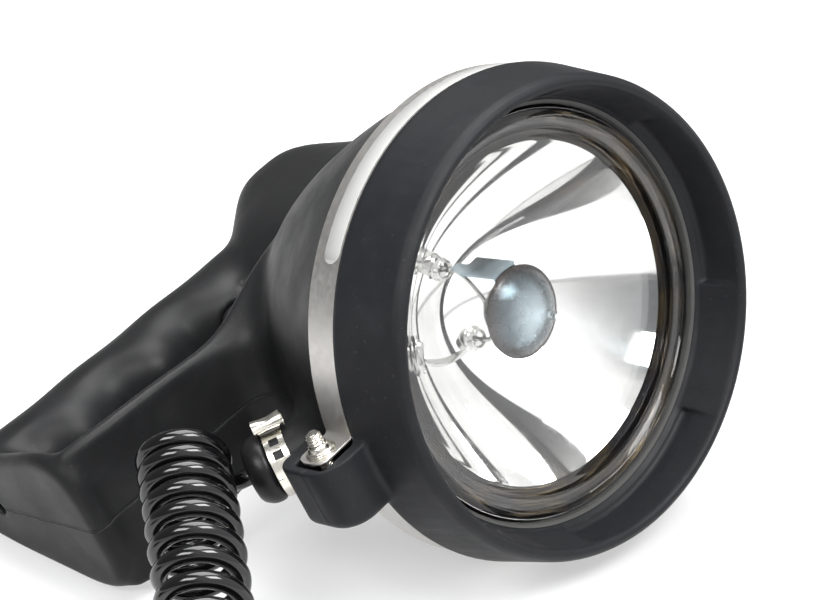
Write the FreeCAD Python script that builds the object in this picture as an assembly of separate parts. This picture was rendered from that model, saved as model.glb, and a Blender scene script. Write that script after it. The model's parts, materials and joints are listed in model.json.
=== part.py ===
import FreeCAD, Part
import math
import os

# Hand-held sealed-beam search lamp with a rubber housing, lying on its side.
#
# Everything is drawn in the lamp's own axes, in millimetres: +X along the beam, +Z away from
# the flat base of the handle, +Y across the lamp, and the origin where the beam's axis meets
# the plane of the hood's lip. The last section turns the finished solids onto their resting
# side, so that the files have +Z up and the origin on the supporting surface.

V = FreeCAD.Vector
X_AXIS, Y_AXIS, Z_AXIS = V(1, 0, 0), V(0, 1, 0), V(0, 0, 1)
ORIGIN = V(0, 0, 0)
CLOSE = 0.05           # gap that keeps neighbouring round faces of one body apart
RUNNING_GAP = 0.05     # radial clearance of the trigger in its collar and of its push rod

# ---------------------------------------------------------------- driving dimensions
HOOD_R = 84.0          # outer radius of the hood at its lip
HOOD_WALL = 5.0        # thickness of the hood at its lip
HOOD_DEPTH = 19.5      # lip to the glass
PAD_COUNT = 4          # thick stretches inside the hood
PAD_ANGLE = 35.0
PAD_T = 3.6            # how far a pad stands in at its deep end

BAND_FRONT = -29.7     # front edge of the clamp band
BAND_WIDTH = 13.4
BAND_T = 0.8
BAND_R = 86.7          # outer radius of the band
BAND_REAR = BAND_FRONT - BAND_WIDTH
SKIRT_R = BAND_R - BAND_T - CLOSE
SKIRT_WALL = 4.0       # hood rubber under the band
EAR_Y = 10.8           # the band's ears stand this far from the middle plane
EAR_TIP = -101.5
EAR_ROOT = -math.sqrt((BAND_R - BAND_T / 2) ** 2 - EAR_Y ** 2)
LABEL_T = 0.25
LABEL_ANGLES = (100.0, 192.0)

SCREW_R = 2.5          # M5 clamp screw
SCREW_X = (BAND_FRONT + BAND_REAR) / 2
SCREW_Z = -95.0

LAMP_R = 73.0          # sealed beam of 146 mm
LAMP_RIM_FRONT = -HOOD_DEPTH - 0.5
LAMP_RIM_T = 8.5
GLASS_T = 3.5
LENS_RISE = 4.6
SEAT_END = LAMP_RIM_FRONT - LAMP_RIM_T - 2.05
RING_T = 1.2           # retaining ring behind the lamp
SPIGOT_FRONT = SEAT_END - RING_T - 0.1
MIRROR_R = 60.5
MIRROR_FOCUS = 20.3
MIRROR_RIM = -26.0
MIRROR_APEX = MIRROR_RIM - MIRROR_R ** 2 / (4 * MIRROR_FOCUS)
FILAMENT_X = MIRROR_APEX + MIRROR_FOCUS
SHIELD_X = -33.0       # plane of the shield's rim
SHIELD_R = 15.5
LEAD_HALF = 15.5       # the lamp's leads stand this far from its axis
TERMINAL_X = -86.0

SHELL_T = 4.5          # rubber of the head
BELL_APEX = -147.0     # outer apex of the head
HANDLE_BASE = -143.6   # height of the flat base
BASE_HOLE_R = 3.0
BASE_HOLE_DEPTH = 12.0
BASE_HOLE_X = -182.0

TRIGGER_Z = -26.0      # height of the trigger on the grip
TRIGGER_R = 6.0
TRIGGER_TRAVEL = 3.0
TRIGGER_TIP = -157.5
COLLAR_FRONT, COLLAR_REAR = -162.5, -173.5
COLLAR_R = 8.5
PUSH_ROD_R = 2.0
SWITCH_FRONT, SWITCH_REAR = -184.0, -198.0

CABLE_D = 6.2
COIL_D = 33.6
GLAND_DIR = V(-0.59, 0, -0.81).normalize()
GLAND_TIP = V(-72.5, 0, -97.7)
SPIGOT_R = 11.4        # rubber neck that the cable boot sits in
SPIGOT_BORE = 7.6
CLIP_T = 0.7
CLIP_START, CLIP_WIDTH = -11.6, 7.4
COLLAR_END = 5.0       # the boot stands this far beyond the neck

parts = {}


# ---------------------------------------------------------------- helpers
def disc(x0, x1, radius, y=0.0, z=0.0):
    """A cylinder along X."""
    low, high = min(x0, x1), max(x0, x1)
    return Part.makeCylinder(radius, high - low, V(low, y, z), X_AXIS)


def rod(start, end, radius):
    """A cylinder from one point to another."""
    run = end - start
    return Part.makeCylinder(radius, run.Length, start, run)


def tube(start, end, outer, inner):
    return rod(start, end, outer).cut(rod(start, end, inner))


def box(x0, x1, y0, y1, z0, z1):
    return Part.makeBox(x1 - x0, y1 - y0, z1 - z0, V(x0, y0, z0))


def turned(points):
    """A solid of revolution about the X axis, from (x, radius) corners."""
    corners = [V(x, 0, r) for x, r in points]
    return Part.Face(Part.makePolygon(corners + corners[:1])).revolve(ORIGIN, X_AXIS, 360)


def smooth_turned(outline, rest):
    """A solid of revolution whose first stretch is a smooth curve through outline."""
    curve = Part.BSplineCurve()
    curve.interpolate([V(x, 0, r) for x, r in outline])
    corners = [outline[-1], *rest, outline[0]]
    edges = [curve.toShape()]
    for (xa, ra), (xb, rb) in zip(corners, corners[1:]):
        edges.append(Part.LineSegment(V(xa, 0, ra), V(xb, 0, rb)).toShape())
    return Part.Face(Part.Wire(edges)).revolve(ORIGIN, X_AXIS, 360)


def closed_curve(points):
    curve = Part.BSplineCurve()
    curve.interpolate(points, PeriodicFlag=True)
    return Part.Wire(curve.toShape())


def oval(centre, half_u, half_v, u, v, power=2.0, count=28):
    """A closed smooth outline: an ellipse at power 2, squarer above it."""
    points = []
    for i in range(count):
        a = 2 * math.pi * i / count
        c, s = math.cos(a), math.sin(a)
        p = math.copysign(abs(c) ** (2 / power), c) * half_u
        q = math.copysign(abs(s) ** (2 / power), s) * half_v
        points.append(centre + u * p + v * q)
    return closed_curve(points)


def loft(wires):
    return Part.makeLoft(wires, True, False)


def fused(first, *others):
    for other in others:
        first = first.fuse(other)
    return first


def along_gland(distance):
    """The point on the cable entry's axis at this distance beyond the end of the neck."""
    return GLAND_TIP + GLAND_DIR * distance


def around_gland(distance, angle, radius):
    """A point at this radius round the cable entry, with angle 0 towards the hood."""
    across = GLAND_DIR.cross(Y_AXIS).normalize()
    a = math.radians(angle)
    return along_gland(distance) + (across * math.cos(a) - Y_AXIS * math.sin(a)) * radius


def around(shape, angle):
    """A copy turned about the beam's axis."""
    copy = shape.copy()
    copy.rotate(ORIGIN, X_AXIS, angle)
    return copy


def mirrored(shape):
    """The shape together with its mirror image in the lamp's middle plane."""
    return Part.makeCompound([shape, shape.mirror(ORIGIN, Y_AXIS)])


def rounded_route(points, radius_of_section):
    """A tube along straight runs joined by tangent arcs as large as the runs allow."""
    radii = []
    edges = []
    start = points[0]
    for before, corner, after in zip(points, points[1:], points[2:]):
        run_in, run_out = corner - before, after - corner
        turn = run_in.getAngle(run_out)
        reach = 0.45 * min(run_in.Length, run_out.Length)
        radii.append(round(reach / math.tan(turn / 2), 1))
        enter = corner - run_in.normalize() * reach
        leave = corner + run_out.normalize() * reach
        bulge = (enter + leave) * 0.5 - corner
        radius = radii[-1]
        to_centre = math.hypot(reach, reach / math.tan(turn / 2))
        middle = corner + bulge.normalize() * (to_centre - reach / math.tan(turn / 2))
        edges.append(Part.LineSegment(start, enter).toShape())
        edges.append(Part.Arc(enter, middle, leave).toShape())
        start = leave
    edges.append(Part.LineSegment(start, points[-1]).toShape())
    path = Part.Wire(edges)
    first = points[1] - points[0]
    profile = Part.Wire(Part.Circle(points[0], first, radius_of_section).toShape())
    solid = path.makePipeShell([profile], True, False, 2)
    ratio = solid.Volume / (math.pi * radius_of_section ** 2 * path.Length)
    print("route: length %.1f, bend radii %s, volume over section times length %.4f"
          % (path.Length, radii, ratio))
    return solid


# ---------------------------------------------------------------- front hood
HOOD_INNER = HOOD_R - HOOD_WALL
PAD_START, PAD_END = -2.2, -HOOD_DEPTH + 0.5
SEAT_R = LAMP_R + 1.6  # the rubber seat round the lamp
LEDGE_R = HOOD_INNER - 2.9


def hood_profile():
    return turned([
        (-3.5, HOOD_R), (-1.2, HOOD_R - 1.0), (0, HOOD_R - 2.8), (-0.6, HOOD_INNER + 0.5),
        (PAD_START, HOOD_INNER), (PAD_END + 1.5, HOOD_INNER - 0.8), (PAD_END + 1.5, LEDGE_R),
        (PAD_END, LEDGE_R), (PAD_END, SEAT_R), (SEAT_END, SEAT_R), (SEAT_END, SKIRT_R - SKIRT_WALL),
        (BAND_REAR, SKIRT_R - SKIRT_WALL), (BAND_REAR, SKIRT_R), (BAND_FRONT + CLOSE, SKIRT_R),
        (BAND_FRONT + CLOSE, BAND_R + 0.5), (BAND_FRONT + 2.0, BAND_R + 0.9),
    ])


def hood_pad(middle):
    """One thick stretch of the hood's inner wall, flush at the lip and thickest at the glass."""
    corners = [V(PAD_START, 0, HOOD_INNER - 0.1), V(PAD_END, 0, HOOD_INNER - PAD_T),
               V(PAD_END, 0, HOOD_INNER + 1), V(PAD_START, 0, HOOD_INNER + 1)]
    face = Part.Face(Part.makePolygon(corners + corners[:1]))
    return around(face.revolve(ORIGIN, X_AXIS, PAD_ANGLE), middle - PAD_ANGLE / 2)


BOSS = dict(rear=-51.0, front=-23.5, near=-EAR_Y + BAND_T / 2, far=15.0, out=-105.5)


def boss_body():
    """The rubber cowl on the hood that covers the ends of the band."""
    block = box(BOSS["rear"], BOSS["front"], BOSS["near"], BOSS["far"], BOSS["out"], -78.0)
    across = [e for e in block.Edges if e.BoundBox.YLength > 20 and e.BoundBox.ZMax < -90]
    front = [e for e in across if e.BoundBox.XMin > -30]
    block = block.makeFillet(12.0, front)
    rear = [e for e in block.Edges if e.BoundBox.YLength > 20 and e.BoundBox.ZMax < -100
            and e.BoundBox.XMax < -45]
    block = block.makeFillet(6.0, rear)
    far = [e for e in block.Edges if e.BoundBox.YMin > BOSS["far"] - 0.1 and e.BoundBox.ZMin < -85]
    return block.makeFillet(4.5, far)


def boss_pocket():
    return box(BAND_REAR - 1.0, BAND_FRONT + 1.0, BOSS["near"] - 1, EAR_Y + 2.6, EAR_TIP - 0.8, -80.0)


def front_hood():
    hood = hood_profile()
    for i in range(PAD_COUNT):
        hood = hood.fuse(hood_pad(45 + 360 / PAD_COUNT * i))
    body = boss_body().cut(disc(10, -80, SKIRT_R - 1.5))
    track = tube(V(BAND_REAR - 20, 0, 0), V(BAND_FRONT + CLOSE, 0, 0), BAND_R + 1.0, SKIRT_R)
    pocket = boss_pocket().cut(disc(10, -80, SKIRT_R))
    screw_way = rod(V(SCREW_X, 5, SCREW_Z), V(SCREW_X, 30, SCREW_Z), 5.2)
    body = body.cut(box(BOSS["rear"] - 1, BAND_REAR, -40, 40, -SKIRT_R - 1, -60))
    return hood.fuse(body).cut(pocket).cut(track).cut(screw_way)


# ---------------------------------------------------------------- rear housing
def bell_outline(offset=0.0):
    """The head's outer curve, near a paraboloid, from the band to the apex, moved in by offset."""
    rim, apex = BAND_R - 1.6 - offset, BELL_APEX + offset
    steps = 10
    points = []
    for i in range(steps + 1):
        share = 1 - i / steps
        points.append((apex + (BAND_REAR - apex) * share ** 2.25, rim * share))
    return points


def bell():
    spigot = SKIRT_R - SKIRT_WALL - CLOSE
    return smooth_turned(bell_outline(), [(SPIGOT_FRONT, 0.0), (SPIGOT_FRONT, spigot), (BAND_REAR, spigot)])


def bell_hollow():
    outline = bell_outline(SHELL_T)
    mouth = outline[0][1] - SKIRT_WALL
    return smooth_turned(outline, [(-20.0, 0.0), (-20.0, mouth), (BAND_REAR, mouth)])


SPINE = [  # x, top, bottom, half width
    (-52, 81.0, 25, 36), (-80, 82.5, 18, 36), (-109, 83, 4, 33.5), (-139, 83, -9, 30),
    (-164, 79.5, -14, 28), (-186, 76.0, -8, 26.5), (-202, 72.5, 8, 25.5),
    (-213, 68, 20, 23.5), (-220.5, 61, 32, 17)]
SPINE_SQUARENESS = 2.9


def spine_loft(sections, inset=0.0):
    return loft([oval(V(x, 0, (top + low) / 2), half - inset, (top - low) / 2 - inset,
                      Y_AXIS, Z_AXIS, SPINE_SQUARENESS) for x, top, low, half in sections])


GUARD = [  # height, half width, depth
    (-12, 42.5, 42), (-29, 39.2, 36), (-43, 34.4, 28), (-55, 29.4, 23), (-67, 26.8, 19.5),
    (-84, 27.8, 17.5), (-102, 29.4, 17), (-121, 30.6, 17.5), (-138, 30.0, 20)]
GUARD_FACE = -117.0    # front face of the guard, and its thickness lies behind it


def guard_section(z, half, depth):
    """The guard is flat in front, fullest just behind its front edges, and crowned inside."""
    toe = GUARD_FACE - 3.4 * max(0.0, (-120.0 - z) / 17.0)
    lead = max(0.0, depth - 17.5) * 0.8 if z > -100 else 0.0
    side = [(lead, 0), (lead, 0.45 * half), (lead * 0.9 - 0.5, 0.84 * half), (-1.4, 0.97 * half),
            (-3.6, half), (-6.6, 0.94 * half), (-11.5, 0.72 * half), (-15.4, 0.4 * half)]
    outline = [(toe + x, y) for x, y in side] + [(toe - 16.8, 0)]
    outline += [(toe + x, -y) for x, y in reversed(side[1:])]
    return closed_curve([V(x, y, z) for x, y in outline])


def guard():
    return loft([guard_section(*row) for row in GUARD])


def grip_section(z):
    """The grip leans back a little, and its front face has broad waves for the fingers."""
    lean = 0.055 * (z + 40)
    rear = -203.0 + lean
    front = -166.5 + lean + 2.6 * math.cos(2 * math.pi * (z + 24) / 40.0)
    return oval(V((front + rear) / 2, 0, z), (front - rear) / 2, 18.0, X_AXIS, Y_AXIS, 2.3)


def grip():
    return loft([grip_section(20 - 7.5 * i) for i in range(21)])


BASE_OUTLINE = [(-117.5, 0), (-118, 16), (-122, 26), (-132, 29.5), (-150, 27.5), (-170, 23.5),
                (-192, 18.5), (-207, 13), (-216, 7), (-219, 0)]


def base_wire(z, inset, narrowing):
    middle_x = -165.0
    shrink = 1 - inset / 50.0
    points = [V(middle_x + (x - middle_x) * shrink, y * narrowing, z) for x, y in BASE_OUTLINE]
    points += [V(p.x, -p.y, z) for p in reversed(points[1:-1])]
    return closed_curve(points)


def handle_base():
    """The flat foot under the handle: widest just above the ground, narrow where the hand is."""
    return loft([base_wire(HANDLE_BASE, 4.0, 0.88), base_wire(HANDLE_BASE + 1.8, 1.2, 0.97),
                 base_wire(HANDLE_BASE + 4.5, 0.0, 1.0), base_wire(HANDLE_BASE + 8, 0.5, 0.88),
                 base_wire(HANDLE_BASE + 13, 2.5, 0.6)])


def gland_spigot():
    return rod(along_gland(-42), along_gland(-4), SPIGOT_R)


def switch_cavity():
    chamber = box(SWITCH_REAR - 0.6, COLLAR_REAR - 0.2, -8.4, 8.4, TRIGGER_Z - 12.5, TRIGGER_Z + 12.5)
    mouth = disc(COLLAR_REAR - 1, -150, COLLAR_R + CLOSE, z=TRIGGER_Z)
    duct_up = box(-198, -190, -4, 4, TRIGGER_Z + 11, 30)
    duct_forward = disc(-198, -120, 4, z=26)
    return fused(chamber, mouth, duct_up, duct_forward)


def rear_housing():
    shell = fused(bell(), spine_loft(SPINE), guard(), grip(), handle_base(), gland_spigot())
    shell = shell.cut(bell_hollow()).cut(spine_loft(SPINE[:4], 6.0))
    shell = shell.cut(rod(along_gland(-60), along_gland(1), SPIGOT_BORE))
    shell = shell.cut(switch_cavity())
    hole = Part.makeCylinder(BASE_HOLE_R, BASE_HOLE_DEPTH, V(BASE_HOLE_X, 0, HANDLE_BASE), Z_AXIS)
    return shell.cut(hole)


# ---------------------------------------------------------------- clamp band and its fasteners
def ear(side):
    """The end of the band, bent outwards and drilled for the clamp screw."""
    y = side * EAR_Y
    inner_y, outer_y = sorted((y - side * BAND_T / 2, y + side * BAND_T / 2))
    plate = box(BAND_REAR, BAND_FRONT, inner_y, outer_y, EAR_TIP, EAR_ROOT)
    corners = [e for e in plate.Edges if e.BoundBox.YLength > 0.5 and e.BoundBox.ZMax < EAR_TIP + 0.1]
    plate = plate.makeFillet(4.0, corners)
    return plate.cut(rod(V(SCREW_X, -20, SCREW_Z), V(SCREW_X, 20, SCREW_Z), SCREW_R + 0.2))


def clamp_band():
    ring = tube(V(BAND_REAR, 0, 0), V(BAND_FRONT, 0, 0), BAND_R, BAND_R - BAND_T)
    gap = box(BAND_REAR - 1, BAND_FRONT + 1, -EAR_Y, EAR_Y, -100, -60)
    return fused(ring.cut(gap), ear(-1), ear(1))


def rating_label():
    """A thin blank strip with round ends, laid on the band."""
    width = 0.58 * BAND_WIDTH
    middle_x = BAND_FRONT - 0.5 * width - 0.9
    low, high = LABEL_ANGLES
    ring = tube(V(middle_x - width / 2, 0, 0), V(middle_x + width / 2, 0, 0),
                BAND_R + LABEL_T + CLOSE, BAND_R + CLOSE)
    corners = [V(-60, 0, 0)] + [V(-60, 150 * math.cos(math.radians(a)), 150 * math.sin(math.radians(a)))
                                for a in (low, (low + high) / 2, high)]
    sector = Part.Face(Part.makePolygon(corners + corners[:1])).extrude(V(60, 0, 0))
    strip = ring.common(sector)
    for angle in (low, high):
        direction = V(0, math.cos(math.radians(angle)), math.sin(math.radians(angle)))
        cap = rod(V(middle_x, 0, 0) + direction * 80, V(middle_x, 0, 0) + direction * 95, width / 2)
        strip = strip.fuse(ring.common(cap))
    return strip


def screw_along_y(y0, y1, radius):
    return rod(V(SCREW_X, y0, SCREW_Z), V(SCREW_X, y1, SCREW_Z), radius)


def hexagon(y0, y1, across):
    corner = across / math.sqrt(3)
    points = [V(SCREW_X + corner * math.cos(math.radians(60 * i)), y0,
                SCREW_Z + corner * math.sin(math.radians(60 * i))) for i in range(7)]
    return Part.Face(Part.makePolygon(points)).extrude(V(0, y1 - y0, 0))


def clamp_screw():
    head = screw_along_y(EAR_Y + 1.6, EAR_Y + 5.2, 4.6)
    slot = box(SCREW_X - 0.6, SCREW_X + 0.6, EAR_Y + 4.0, EAR_Y + 6, SCREW_Z - 6, SCREW_Z + 6)
    shank = screw_along_y(-EAR_Y - 8.0, EAR_Y + 1.6, SCREW_R)
    return head.cut(slot).fuse(shank)


def clamp_nut():
    nut = hexagon(-EAR_Y - 5.0, -EAR_Y - 1.5, 8.0)
    return nut.cut(screw_along_y(-40, 0, SCREW_R + CLOSE))


def clamp_washers():
    near = screw_along_y(-EAR_Y - 1.4, -EAR_Y - 0.45, 5.0)
    far = screw_along_y(EAR_Y + 0.45, EAR_Y + 1.5, 5.0)
    bore = screw_along_y(-40, 40, SCREW_R + 0.15)
    return Part.makeCompound([near.cut(bore), far.cut(bore)])


# ---------------------------------------------------------------- sealed beam
def lamp_lens():
    """The clear front glass: a shallow dome with a stepped rim."""
    rim_front, rim_rear = LAMP_RIM_FRONT, LAMP_RIM_FRONT - 4.0
    dome = []
    steps = 8
    for i in range(steps + 1):
        r = (MIRROR_R + 1.5) * i / steps
        dome.append((rim_front + LENS_RISE * (1 - (r / (MIRROR_R + 1.5)) ** 2), r))
    inside = [(x - GLASS_T, r) for x, r in reversed(dome)]
    return turned(dome + [(rim_front, 64.5), (rim_front - 0.9, 66.0), (rim_front - 0.4, 68.0),
                          (rim_front - 1.0, 71.5), (rim_front - 2.4, LAMP_R), (rim_rear, LAMP_R),
                          (rim_rear, MIRROR_R + 2.5)] + inside)


def mirror_curve(offset):
    """(x, radius) points of the bowl, offset outwards from the mirror's face."""
    points = []
    steps = 12
    for i in range(steps + 1):
        r = MIRROR_R * (1 - i / steps)
        x = MIRROR_APEX + r * r / (4 * MIRROR_FOCUS)
        points.append((x - offset, r))
    return points


def lamp_reflector():
    """The bowl of the sealed beam, with its flange and two lead holes."""
    inner = mirror_curve(0.0)
    outer = [(x, r + 2.2) for x, r in mirror_curve(GLASS_T)[:-1]] + [(MIRROR_APEX - GLASS_T, 0.0)]
    flange_front, flange_rear = LAMP_RIM_FRONT - 4.1, LAMP_RIM_FRONT - LAMP_RIM_T
    bowl = turned(inner + list(reversed(outer)) + [(flange_rear, MIRROR_R + 4.0), (flange_rear, LAMP_R),
                  (flange_front, LAMP_R), (flange_front, MIRROR_R + 1.5)])
    for y in (-LEAD_HALF, LEAD_HALF):
        bowl = bowl.cut(disc(-60, -90, 2.6, y=y))
    return bowl


def lead_post(side):
    """A stiff wire from the base of the bowl, bent in to the filament."""
    y = side * LEAD_HALF
    bend = V(FILAMENT_X - 8, y, 0)
    return fused(rod(V(TERMINAL_X + 6, y, 0), bend, 0.9), Part.makeSphere(0.9, bend),
                 rod(bend, V(FILAMENT_X, side * 3.6, 0), 0.9))


def lead_ferrule(side):
    y = side * LEAD_HALF
    cup = disc(MIRROR_APEX + 4.8, MIRROR_APEX + 9.6, 4.0, y=y)
    cup = cup.cut(disc(MIRROR_APEX + 6.6, MIRROR_APEX + 10, 3.2, y=y))
    stem = disc(MIRROR_APEX - 7.0, MIRROR_APEX + 4.8, 2.5, y=y)
    return cup.fuse(stem).cut(disc(-40, -110, 0.95, y=y))


def filament():
    """The coiled wire between the leads, as one straight coil."""
    coil = rod(V(FILAMENT_X, -2.9, 0), V(FILAMENT_X, 2.9, 0), 0.85)
    return coil.cut(rod(V(FILAMENT_X, -4, 0), V(FILAMENT_X, 4, 0), 0.5))


def filament_shield():
    """The pressed metal cap in front of the filament, with a rolled rim."""
    outer_radius = 19.5
    sink = math.sqrt(outer_radius ** 2 - (SHIELD_R - 1.4) ** 2)
    centre = V(SHIELD_X - sink, 0, 0)
    cap = Part.makeSphere(outer_radius, centre).cut(Part.makeSphere(outer_radius - 0.7, centre))
    cap = cap.common(disc(SHIELD_X, SHIELD_X + 30, SHIELD_R))
    rim = Part.makeTorus(SHIELD_R - 0.9, 0.9, V(SHIELD_X, 0, 0), X_AXIS)
    return cap.fuse(rim)


def shield_bracket():
    """A bent strip from one lead to the rim of the shield."""
    arm = box(FILAMENT_X - 2, SHIELD_X - 0.8, -LEAD_HALF - 1.75, -LEAD_HALF - 1.05, -4.0, 6.5)
    foot = box(SHIELD_X - 1.7, SHIELD_X - 1.0, -LEAD_HALF - 1.75, -LEAD_HALF + 4.0, -4.0, 6.5)
    tail = box(FILAMENT_X - 8, FILAMENT_X - 2, -LEAD_HALF - 1.75, -LEAD_HALF - 1.05, -2.0, 2.0)
    return fused(arm, foot, tail)


def lamp_gasket():
    """A rubber channel that grips the rim of the sealed beam."""
    front, rear = LAMP_RIM_FRONT + 0.9, LAMP_RIM_FRONT - LAMP_RIM_T - 2.0
    outer = SEAT_R - CLOSE
    channel = turned([(front, outer), (front - 0.6, outer - 1.2), (front - 1.6, LAMP_R + CLOSE),
                      (LAMP_RIM_FRONT - LAMP_RIM_T - 0.1, LAMP_R + CLOSE),
                      (LAMP_RIM_FRONT - LAMP_RIM_T - 0.1, MIRROR_R + 7), (rear, MIRROR_R + 7), (rear, outer)])
    return channel


def retaining_ring():
    """The flat steel ring that the housing presses against the lamp, with a turned-in lip."""
    front, rear, bore = SEAT_END - 0.05, SEAT_END - 0.05 - RING_T, MIRROR_R + 8
    return turned([(front, bore), (front, SKIRT_R - SKIRT_WALL - 0.3), (rear, SKIRT_R - SKIRT_WALL - 0.3),
                   (rear, bore + RING_T), (rear - 3.0, bore + RING_T), (rear - 3.0, bore)])


def lamp_terminal(side):
    """A screw terminal on the back of the bowl."""
    y = side * LEAD_HALF
    pad = box(TERMINAL_X, TERMINAL_X + 7.9, y - 4.5, y + 4.5, -4.5, 4.5)
    return pad.cut(disc(TERMINAL_X - 1, TERMINAL_X + 9, 1.6, y=y))


def terminal_screw(side):
    y = side * LEAD_HALF
    return disc(TERMINAL_X - 4.4, TERMINAL_X - 2.2, 3.4, y=y).fuse(disc(TERMINAL_X - 2.2, TERMINAL_X + 4, 1.5, y=y))


def terminal_lug(side):
    """A crimped ring lug under the terminal's screw."""
    y = side * LEAD_HALF
    eye = disc(TERMINAL_X - 1.1, TERMINAL_X - 0.1, 4.2, y=y)
    tongue = box(TERMINAL_X - 1.1, TERMINAL_X - 0.1, y - 2, y + 2, -9, 0)
    barrel = rod(V(TERMINAL_X - 2.4, y, -9), V(TERMINAL_X - 2.4, y, -15), 2.3)
    return fused(eye, tongue, barrel).cut(disc(TERMINAL_X - 2, TERMINAL_X + 1, 1.7, y=y))


# ---------------------------------------------------------------- switch and trigger
def trigger_collar():
    """The collar in the grip's front that guides the trigger."""
    body = disc(COLLAR_REAR, COLLAR_FRONT, COLLAR_R, z=TRIGGER_Z)
    return body.cut(disc(COLLAR_REAR - 1, COLLAR_FRONT + 1, TRIGGER_R + RUNNING_GAP, z=TRIGGER_Z))


def trigger_button():
    """The domed button with its flange and push rod, in one moulding."""
    barrel = disc(COLLAR_REAR - 0.4, TRIGGER_TIP - 2.0, TRIGGER_R, z=TRIGGER_Z)
    nose = disc(TRIGGER_TIP - 2.0, TRIGGER_TIP, TRIGGER_R, z=TRIGGER_Z)
    rim = [e for e in nose.Edges if e.BoundBox.XMin > TRIGGER_TIP - 0.1]
    flange = disc(COLLAR_REAR - 1.8, COLLAR_REAR - 0.4, TRIGGER_R + 1.6, z=TRIGGER_Z)
    push = disc(SWITCH_FRONT - 1.5, COLLAR_REAR - 1.8, PUSH_ROD_R, z=TRIGGER_Z)
    return fused(barrel, nose.makeFillet(1.9, rim), flange, push)


def trigger_spring():
    """The return spring round the push rod, as a sleeve of its outer size when fully pressed."""
    pressed = COLLAR_REAR - 1.9 - TRIGGER_TRAVEL
    return tube(V(SWITCH_FRONT + CLOSE, 0, TRIGGER_Z), V(pressed, 0, TRIGGER_Z), 4.2, 3.0)


def switch_body():
    body = box(SWITCH_REAR, SWITCH_FRONT, -6.0, 6.0, TRIGGER_Z - 10, TRIGGER_Z + 10)
    way = disc(SWITCH_FRONT - 6.0, SWITCH_FRONT + 1, PUSH_ROD_R + RUNNING_GAP, z=TRIGGER_Z)
    holes = [rod(V(SWITCH_REAR + 3.2, -9, TRIGGER_Z + dz), V(SWITCH_REAR + 3.2, 9, TRIGGER_Z + dz), 1.6)
             for dz in (-7, 7)]
    return body.cut(way).cut(holes[0]).cut(holes[1])


def switch_bracket():
    """A steel channel that the switch is screwed into."""
    outer = box(SWITCH_REAR - 0.4, SWITCH_FRONT - 2, -7.2, 7.2, TRIGGER_Z - 11.2, TRIGGER_Z + 11.2)
    inner = box(SWITCH_REAR - 1, SWITCH_FRONT, -6.1, 6.1, TRIGGER_Z - 12, TRIGGER_Z + 12)
    side = outer.cut(inner)
    for dz in (-7, 7):
        side = side.cut(rod(V(SWITCH_REAR + 3.2, -9, TRIGGER_Z + dz), V(SWITCH_REAR + 3.2, 9, TRIGGER_Z + dz), 1.6))
    return side


def switch_screw(dz):
    z = TRIGGER_Z + dz
    x = SWITCH_REAR + 3.2
    return rod(V(x, -8.2, z), V(x, 7.2, z), 1.5).fuse(rod(V(x, -8.3, z), V(x, -7.25, z), 2.6))


def switch_wires():
    """Two insulated wires from the switch up the grip and forward into the head."""
    wires = []
    for y in (-1.7, 1.7):
        up = rod(V(-194.5, y, TRIGGER_Z + 11.5), V(-194.5, y, 25), 1.1)
        forward = rod(V(-194.5, y, 26), V(-112, y, 26), 1.1)
        wires.append(fused(up, Part.makeSphere(1.3, V(-194.5, y, 25.5)), forward))
    return Part.makeCompound(wires)


def supply_wires():
    """Two cores of the supply lead between the cable's end and the lamp's lugs."""
    wires = []
    for side in (-1, 1):
        foot = along_gland(-38.6) + Y_AXIS * side * 1.3
        turn = along_gland(-42) + Y_AXIS * side * 2.5
        lug = V(TERMINAL_X - 2.4, side * LEAD_HALF, -15.2)
        knee = V(-79.0, side * 9.0, -47.0)
        joints = [Part.makeSphere(1.1, turn), rod(turn, knee, 1.1), Part.makeSphere(1.1, knee)]
        wires.append(fused(rod(foot, turn, 1.1), *joints, rod(knee, lug, 1.1)))
    return Part.makeCompound(wires)


# ---------------------------------------------------------------- cable entry
def cable_boot():
    """The rubber bush in the neck, with a thick rounded collar outside it."""
    collar = rod(along_gland(-4 + CLOSE), along_gland(COLLAR_END), SPIGOT_R + 1.0)
    rims = [e for e in collar.Edges if e.Length > 60]
    plug = rod(along_gland(-33), along_gland(-4 + CLOSE), SPIGOT_BORE - CLOSE)
    bore = rod(along_gland(-40), along_gland(10), CABLE_D / 2 + CLOSE)
    mouth = Part.makeCone(CABLE_D / 2 + 1.8, CABLE_D / 2, 5.0, along_gland(COLLAR_END + 0.01), GLAND_DIR * -1)
    return collar.makeFillet(3.4, rims).fuse(plug).cut(bore).cut(mouth)


def hose_clamp():
    """A stainless clip round the neck, with two square slots."""
    start, end = along_gland(CLIP_START), along_gland(CLIP_START + CLIP_WIDTH)
    ring = tube(start, end, SPIGOT_R + CLOSE + CLIP_T, SPIGOT_R + CLOSE)
    for angle in (118.0, 142.0):
        inside = around_gland(CLIP_START + CLIP_WIDTH / 2, angle, SPIGOT_R - 3)
        outside = around_gland(CLIP_START + CLIP_WIDTH / 2, angle, SPIGOT_R + 5)
        ring = ring.cut(rod(inside, outside, 1.2))
    return ring


def clamp_ear():
    """The rolled lug of the clip: a short tube lying on the band."""
    radius = SPIGOT_R + CLOSE + CLIP_T + 2.9
    start = around_gland(CLIP_START - 0.8, 88.0, radius)
    end = around_gland(CLIP_START + CLIP_WIDTH + 0.8, 88.0, radius)
    return tube(start, end, 2.8, 2.1)


def cable_stop():
    """The clip on the cable inside the head that keeps a pull off the terminals."""
    return tube(along_gland(-37.5), along_gland(-33.3), SPIGOT_BORE + 1.6, CABLE_D / 2 + CLOSE)


def cord_lead():
    """The cable's straight start, from inside the head out through the boot."""
    return rod(along_gland(-38.5), along_gland(COLLAR_END + 17), CABLE_D / 2)


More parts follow.
